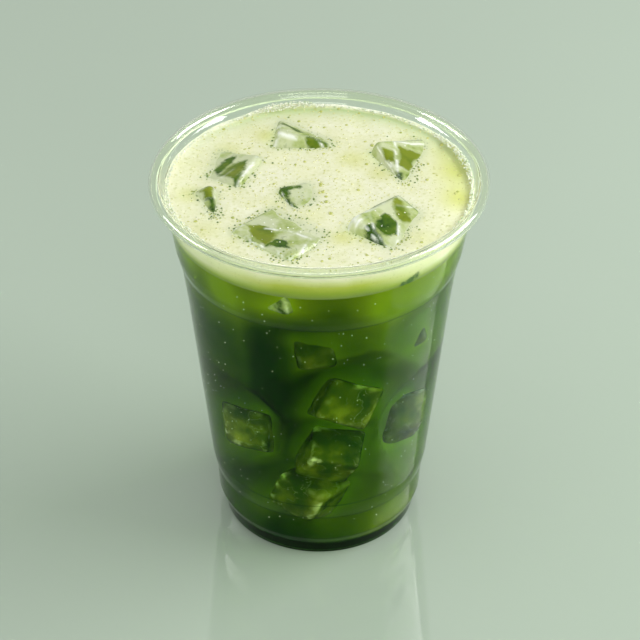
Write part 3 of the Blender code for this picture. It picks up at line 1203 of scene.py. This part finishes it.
def foam_height(spot):
    """Height of the foam's top over a place, both in millimetres."""
    radius = math.hypot(spot.x, spot.y)
    swell = noise.noise(Vector((spot.x, spot.y, 0.0)) / FOAM_SWELL_SIZE) * FOAM_RELIEF * 2
    edge = max(0.0, (radius - radius_at(FOAM_TOP, WALL) + FOAM_RISE_WIDTH) / FOAM_RISE_WIDTH)
    climb = FOAM_RISE + fringe_height(math.degrees(math.atan2(spot.y, spot.x)))
    return FOAM_TOP + swell + edge ** 2 * climb


def foam_disc(radius):
    """A plain disc as thick as the foam, with a fine grid on top and below."""
    deselect()
    bpy.ops.mesh.primitive_circle_add(
        vertices=FOAM_STEPS, radius=radius * MM, location=(0, 0, FOAM_TOP * MM)
    )
    foam = bpy.context.object
    bpy.ops.object.transform_apply(location=True)
    edit_all()
    bpy.ops.mesh.fill_grid(span=FOAM_SPAN)
    bpy.ops.mesh.select_all(action="SELECT")
    bpy.ops.mesh.subdivide(number_cuts=FOAM_CUTS)
    bpy.ops.mesh.select_all(action="SELECT")
    bpy.ops.mesh.extrude_region_move(
        TRANSFORM_OT_translate={"value": (0, 0, (FOAM_BOTTOM - FOAM_OVERLAP - FOAM_TOP) * MM)}
    )
    bpy.ops.mesh.select_all(action="SELECT")
    bpy.ops.mesh.normals_make_consistent(inside=False)
    deselect()
    return foam


def shape_foam(foam, radius, tree):
    """Swell the disc's top, lift it along the ice, and fit its edge to the wall."""
    middle = (FOAM_BOTTOM + FOAM_TOP) / 2
    for vertex in foam.data.vertices:
        spot = vertex.co / MM
        height = spot.z
        if height > middle:
            lip = FOAM_LIP * math.exp(-max(0.0, signed_reach(tree, spot)) / FOAM_LIP_REACH)
            height = foam_height(spot) + lip
        flat = math.hypot(spot.x, spot.y)
        wall = radius_at(height, WALL - INTO_WALL)
        reach = wall / flat if flat > radius - AT_EDGE else min(1.0, wall / radius)
        vertex.co = Vector((spot.x * reach, spot.y * reach, height)) * MM


def at_wall(spot):
    """Whether a spot on the foam is on its side, along the wall."""
    return float(math.hypot(spot.x, spot.y) / MM > radius_at(spot.z / MM, WALL) - WALL_BAND)


def near_ice(spot, standing):
    """How near a spot on the foam's top is to a floating cube."""
    if spot.z / MM < FOAM_TOP - NEAR_ICE_DEPTH:
        return 0.0
    return math.exp(-standing.find_nearest(spot)[3] / MM / NEAR_ICE_REACH)


def edge_green(spot):
    """How green the foam's top is along its back edge."""
    bearing = math.degrees(math.atan2(spot.y, spot.x))
    inward = radius_at(FOAM_TOP, WALL) - math.hypot(spot.x, spot.y) / MM
    facing = max(0.0, math.cos(math.radians(bearing - EDGE_GREEN_BEARING)))
    fade = math.exp(-max(0.0, inward - EDGE_GREEN_WIDTH) / EDGE_GREEN_FADE)
    return facing * fade * held(inward - EDGE_GREEN_START)


def side_pale(spot):
    """How much the foam's side pales towards the left and the right."""
    start, end = SIDE_PALE
    return held((abs(spot.x) / MM - start) / (end - start))


def yellow(spot):
    """How thin and yellow the foam is at a spot."""
    total = 0.0
    for (x, y), reach, share in YELLOW_PATCHES:
        square = (spot.x / MM - x) ** 2 + (spot.y / MM - y) ** 2
        total += share * math.exp(-square / reach ** 2 * YELLOW_FALL)
    return min(1.0, total)


def make_foam(room):
    """The layer of foam on the drink, with the ice's room cleared from it."""
    radius = radius_at(FOAM_TOP, WALL - INTO_WALL)
    foam = foam_disc(radius)
    shape_foam(foam, radius, tree_of(room))
    standing = tree_of(room, FOAM_TOP - STANDING_DEPTH)
    clear_room(foam, room)
    mark(foam, "at_wall", at_wall)
    mark(foam, "near_ice", lambda spot: near_ice(spot, standing))
    mark(foam, "edge_green", edge_green)
    mark(foam, "side_pale", side_pale)
    mark(foam, "yellow", yellow)
    settle(foam, "froth")
    smooth(foam, CUT_SHARP)
    froth().on(foam)
    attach(foam, "root")
    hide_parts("foam")


# ---------------------------------------------------------------- bubbles and specks

def bead(height, subdivisions=2):
    """A unit bubble, as tall as a share of its width."""
    deselect()
    bpy.ops.mesh.primitive_ico_sphere_add(subdivisions=subdivisions, radius=1.0)
    model = bpy.context.object
    edit_all()
    bpy.ops.transform.resize(value=(MM, MM, height * MM))
    deselect()
    return model


def strewn(name, model, places):
    """Copies of a small model joined in one piece; places are (spot, size, shade)."""
    points = bpy.data.meshes.new(name)
    points.from_pydata([tuple(spot * MM) for spot, _, _ in places], [], [])
    store(points, "size", [size for _, size, _ in places])
    store(points, "shade", [shade for _, _, shade in places])
    piece = bpy.data.objects.new(name, points)
    bpy.context.scene.collection.objects.link(piece)
    tree = bpy.data.node_groups.new(name, "GeometryNodeTree")
    for way in ("INPUT", "OUTPUT"):
        tree.interface.new_socket("Geometry", in_out=way, socket_type="NodeSocketGeometry")
    start = tree.nodes.new("NodeGroupInput")
    source = tree.nodes.new("GeometryNodeObjectInfo")
    source.inputs["Object"].default_value = model
    size = tree.nodes.new("GeometryNodeInputNamedAttribute")
    size.inputs["Name"].default_value = "size"
    copies = tree.nodes.new("GeometryNodeInstanceOnPoints")
    joined = tree.nodes.new("GeometryNodeRealizeInstances")
    end = tree.nodes.new("NodeGroupOutput")
    tree.links.new(start.outputs[0], copies.inputs["Points"])
    tree.links.new(source.outputs["Geometry"], copies.inputs["Instance"])
    tree.links.new(size.outputs["Attribute"], copies.inputs["Scale"])
    tree.links.new(copies.outputs["Instances"], joined.inputs["Geometry"])
    tree.links.new(joined.outputs["Geometry"], end.inputs[0])
    finish_modifier(piece, "NODES", node_group=tree)
    bpy.data.node_groups.remove(tree)
    bpy.data.objects.remove(model)
    smooth(piece, MELTED_SHARP)
    return piece


def loose_bubbles(draw, tree, widest):
    """Bubbles all over the foam, most of them small and pale."""
    places = []
    smallest, more = LOOSE_SIZES
    while len(places) < LOOSE_BUBBLES:
        radius = widest * math.sqrt(draw.random())
        spot = spot_at(radius, draw.uniform(0.0, FULL_TURN), 0.0)
        spot.z = foam_height(spot)
        size = smallest + more * draw.random() ** 2
        shade = draw.random() ** 2 * LOOSE_SHADE
        if draw.random() < BIG_ODDS:
            size += draw.uniform(*BIG_EXTRA)
            shade = draw.uniform(*BIG_SHADES)
        if signed_reach(tree, spot) > size + BUBBLE_GAP:
            places.append((spot, size, shade))
    return places


def crowded_bubbles(draw, tree, standing, widest):
    """Dark bubbles crowded on the foam in front of each floating cube."""
    places = []
    for (x, y, _), _, block in FLOATING_ICE.values():
        reach = max(block) * CROWD_SHARE
        made = 0
        for _ in range(CROWD_TRIES):
            if made == BUBBLES_BY_ICE:
                break
            aside, along = draw.uniform(-reach, reach), draw.uniform(-reach, reach)
            spot = Vector((x + aside, y + along, 0.0))
            spot.z = foam_height(spot) + CROWD_LIFT
            near = standing.find_nearest(spot * MM)[3] / MM
            crowd = math.exp(-near / CROWD_REACH) * (1.0 if along < -CROWD_START else CROWD_BEHIND)
            inside = signed_reach(tree, spot) < CROWD_GAP or spot.xy.length > widest
            if not inside and draw.random() < crowd:
                places.append((spot, draw.uniform(*CROWD_SIZES), draw.uniform(*DARK_SHADES)))
                made += 1
    return places


def bubbles_on_ice(draw, tree):
    """Dark bubbles left on the tops of some floating cubes."""
    places = []
    for _, (x, y), reach, count in BUBBLES_ON_ICE:
        for _ in range(count):
            aside, along = draw.gauss(0.0, reach / 2), draw.gauss(0.0, reach / 2)
            place = on_top(tree, x + aside, y + along)
            if place:
                places.append((place, draw.uniform(*ON_ICE_SIZES), draw.uniform(*DARK_SHADES)))
    return places


def make_bubbles(tree, standing):
    """Bubbles in the foam and on the ice, all in one piece."""
    draw = random.Random(BUBBLE_SEED)
    widest = radius_at(FOAM_TOP, WALL) - EDGE_GAP
    places = loose_bubbles(draw, tree, widest)
    places += crowded_bubbles(draw, tree, standing, widest)
    places += bubbles_on_ice(draw, tree)
    bubbles = strewn("foam_bubbles", bead(BUBBLE_FLATNESS), places)
    foam_bubble_skin().on(bubbles)
    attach(bubbles, "root")


def wall_beads(draw):
    """Fine white bubbles that cling to the wall over the foam, most where it climbs."""
    places = []
    while len(places) < WALL_BEADS:
        bearing = draw.uniform(-180.0, 180.0)
        cling = fringe_height(bearing)
        if draw.random() > BEAD_ODDS + cling:
            continue
        size = draw.uniform(*BEAD_SIZES)
        height = FOAM_TOP + FOAM_RISE * BEAD_START + cling * BEAD_FRINGE_START
        height += (BEAD_BAND_HEIGHT + BEAD_BAND_GROWTH * cling) * draw.random() ** 2
        radius = radius_at(height, WALL) - size * BEAD_INSET
        radius -= (BEAD_BAND_WIDTH + BEAD_BAND_GROWTH * cling) * draw.random() ** 2
        places.append((spot_at(radius, math.radians(bearing), height), size, draw.random() ** 2))
    return places


def beads_on_ice(draw, tree):
    """Fine white bubbles on the tops of some floating cubes."""
    places = []
    for node, count in BEADS_ON_ICE.items():
        x, y, _ = FLOATING_ICE[node][0]
        made = 0
        while made < count:
            aside, along = draw.uniform(-BEAD_SPREAD, BEAD_SPREAD), draw.uniform(-BEAD_SPREAD, BEAD_SPREAD)
            place = on_top(tree, x + aside, y + along)
            if place:
                places.append((place, draw.uniform(*BEAD_SIZES), 0.0))
                made += 1
    return places


def make_wall_froth(tree):
    """Fine white froth along the wall and on the ice."""
    draw = random.Random(BEAD_SEED)
    places = wall_beads(draw) + beads_on_ice(draw, tree)
    beads = strewn("white_froth", bead(BEAD_FLATNESS), places)
    white_bubble_skin().on(beads)
    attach(beads, "root")


def make_specks(tree):
    """Specks that hang in the drink just inside the wall."""
    draw = random.Random(SPECK_SEED)
    places = []
    while len(places) < SPECKS:
        height = draw.uniform(*SPECK_HEIGHTS)
        radius = radius_at(height, WALL) - draw.uniform(*SPECK_DEPTHS)
        spot = spot_at(radius, draw.uniform(0.0, FULL_TURN), height)
        if signed_reach(tree, spot) > SPECK_GAP:
            places.append((spot, draw.uniform(*SPECK_SIZES), 0.0))
    beads = strewn("juice_specks", bead(SPECK_FLATNESS, subdivisions=1), places)
    specks().on(beads)
    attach(beads, "root")


# ---------------------------------------------------------------- studio

def softbox(name, place, aim, size, power):
    """A soft lamp at a place, facing another, with its width and height, all in metres."""
    data = bpy.data.lights.new(name, "AREA")
    data.shape = "RECTANGLE"
    data.size, data.size_y = size
    data.energy = power
    lamp = bpy.data.objects.new(name, data)
    lamp.location = place
    lamp.rotation_euler = (Vector(aim) - Vector(place)).to_track_quat("-Z", "Y").to_euler()
    bpy.context.scene.collection.objects.link(lamp)
    return lamp


def make_floor():
    """The pale, glossy floor."""
    deselect()
    bpy.ops.mesh.primitive_plane_add(size=FLOOR_SIZE, location=(0, 0, -FLOOR_DROP))
    floor = bpy.context.object
    settle(floor, "floor")
    look = Finish("pale_floor", Roughness=0.04, IOR=1.8)
    grain = look.maths("MULTIPLY", look.noise(30.0, detail=4.0), 0.2)
    look.colour(look.mix(grain, (0.48, 0.57, 0.47), (0.45, 0.54, 0.44)))
    look.on(floor)
    return floor


def make_lamps(floor):
    """Soft light from the right and the front, and two cards that show only as reflections."""
    softbox("key_softbox", (0.715, 0.08, 0.70), (0.0, 0.0, 0.06), (0.82, 0.24), 5.5)
    softbox("fill_softbox", (-0.75, -0.10, 0.62), (0.0, 0.0, 0.08), (0.7, 0.3), 0.4)
    front = softbox("front_softbox", (0.1, -1.4, 0.42), (0.0, 0.0, 0.06), (1.2, 0.4), 7.0)
    front.visible_glossy = False
    right = softbox("right_card", (0.88, 0.10, 0.50), (0.0, 0.0, 0.12), (0.75, 0.26), 8.0)
    left = softbox("left_card", (-0.88, 0.10, 0.48), (0.0, 0.0, 0.12), (0.65, 0.26), 6.0)
    off_floor = bpy.data.collections.new("off_floor")
    off_floor.objects.link(floor)
    off_floor.collection_objects[0].light_linking.link_state = "EXCLUDE"
    for card in (right, left):
        card.visible_diffuse = False
        card.light_linking.receiver_collection = off_floor
    world = bpy.data.worlds.new("studio")
    world.use_nodes = True
    backdrop = world.node_tree.nodes["Background"]
    backdrop.inputs["Color"].default_value = (0.95, 1.0, 0.95, 1.0)
    backdrop.inputs["Strength"].default_value = 0.6
    bpy.context.scene.world = world


def make_camera():
    """The camera, in front of the cup and well above it."""
    data = bpy.data.cameras.new("camera")
    data.lens = CAMERA_LENS
    data.sensor_width = CAMERA_SENSOR
    camera = bpy.data.objects.new("camera", data)
    camera.location = CAMERA_PLACE
    camera.rotation_euler = (math.radians(CAMERA_TILT), 0.0, 0.0)
    bpy.context.scene.collection.objects.link(camera)
    bpy.context.scene.camera = camera
    bpy.context.scene.view_settings.view_transform = "Standard"


def main():
    """Make the studio and every piece."""
    make_lamps(make_floor())
    make_camera()
    make_cup()
    cubes = make_floating_ice() + make_sunk_ice()
    room = ice_room(cubes, DRINK_OVER_ICE)
    ice = tree_of(room)
    standing = tree_of(room, FOAM_TOP - STANDING_DEPTH)
    make_drink(room)
    make_foam(room)
    bpy.data.objects.remove(room)
    room = ice_room(cubes, MURK_OVER_ICE)
    make_murk(room)
    bpy.data.objects.remove(room)
    make_bubbles(ice, standing)
    make_wall_froth(ice)
    make_specks(ice)


main()
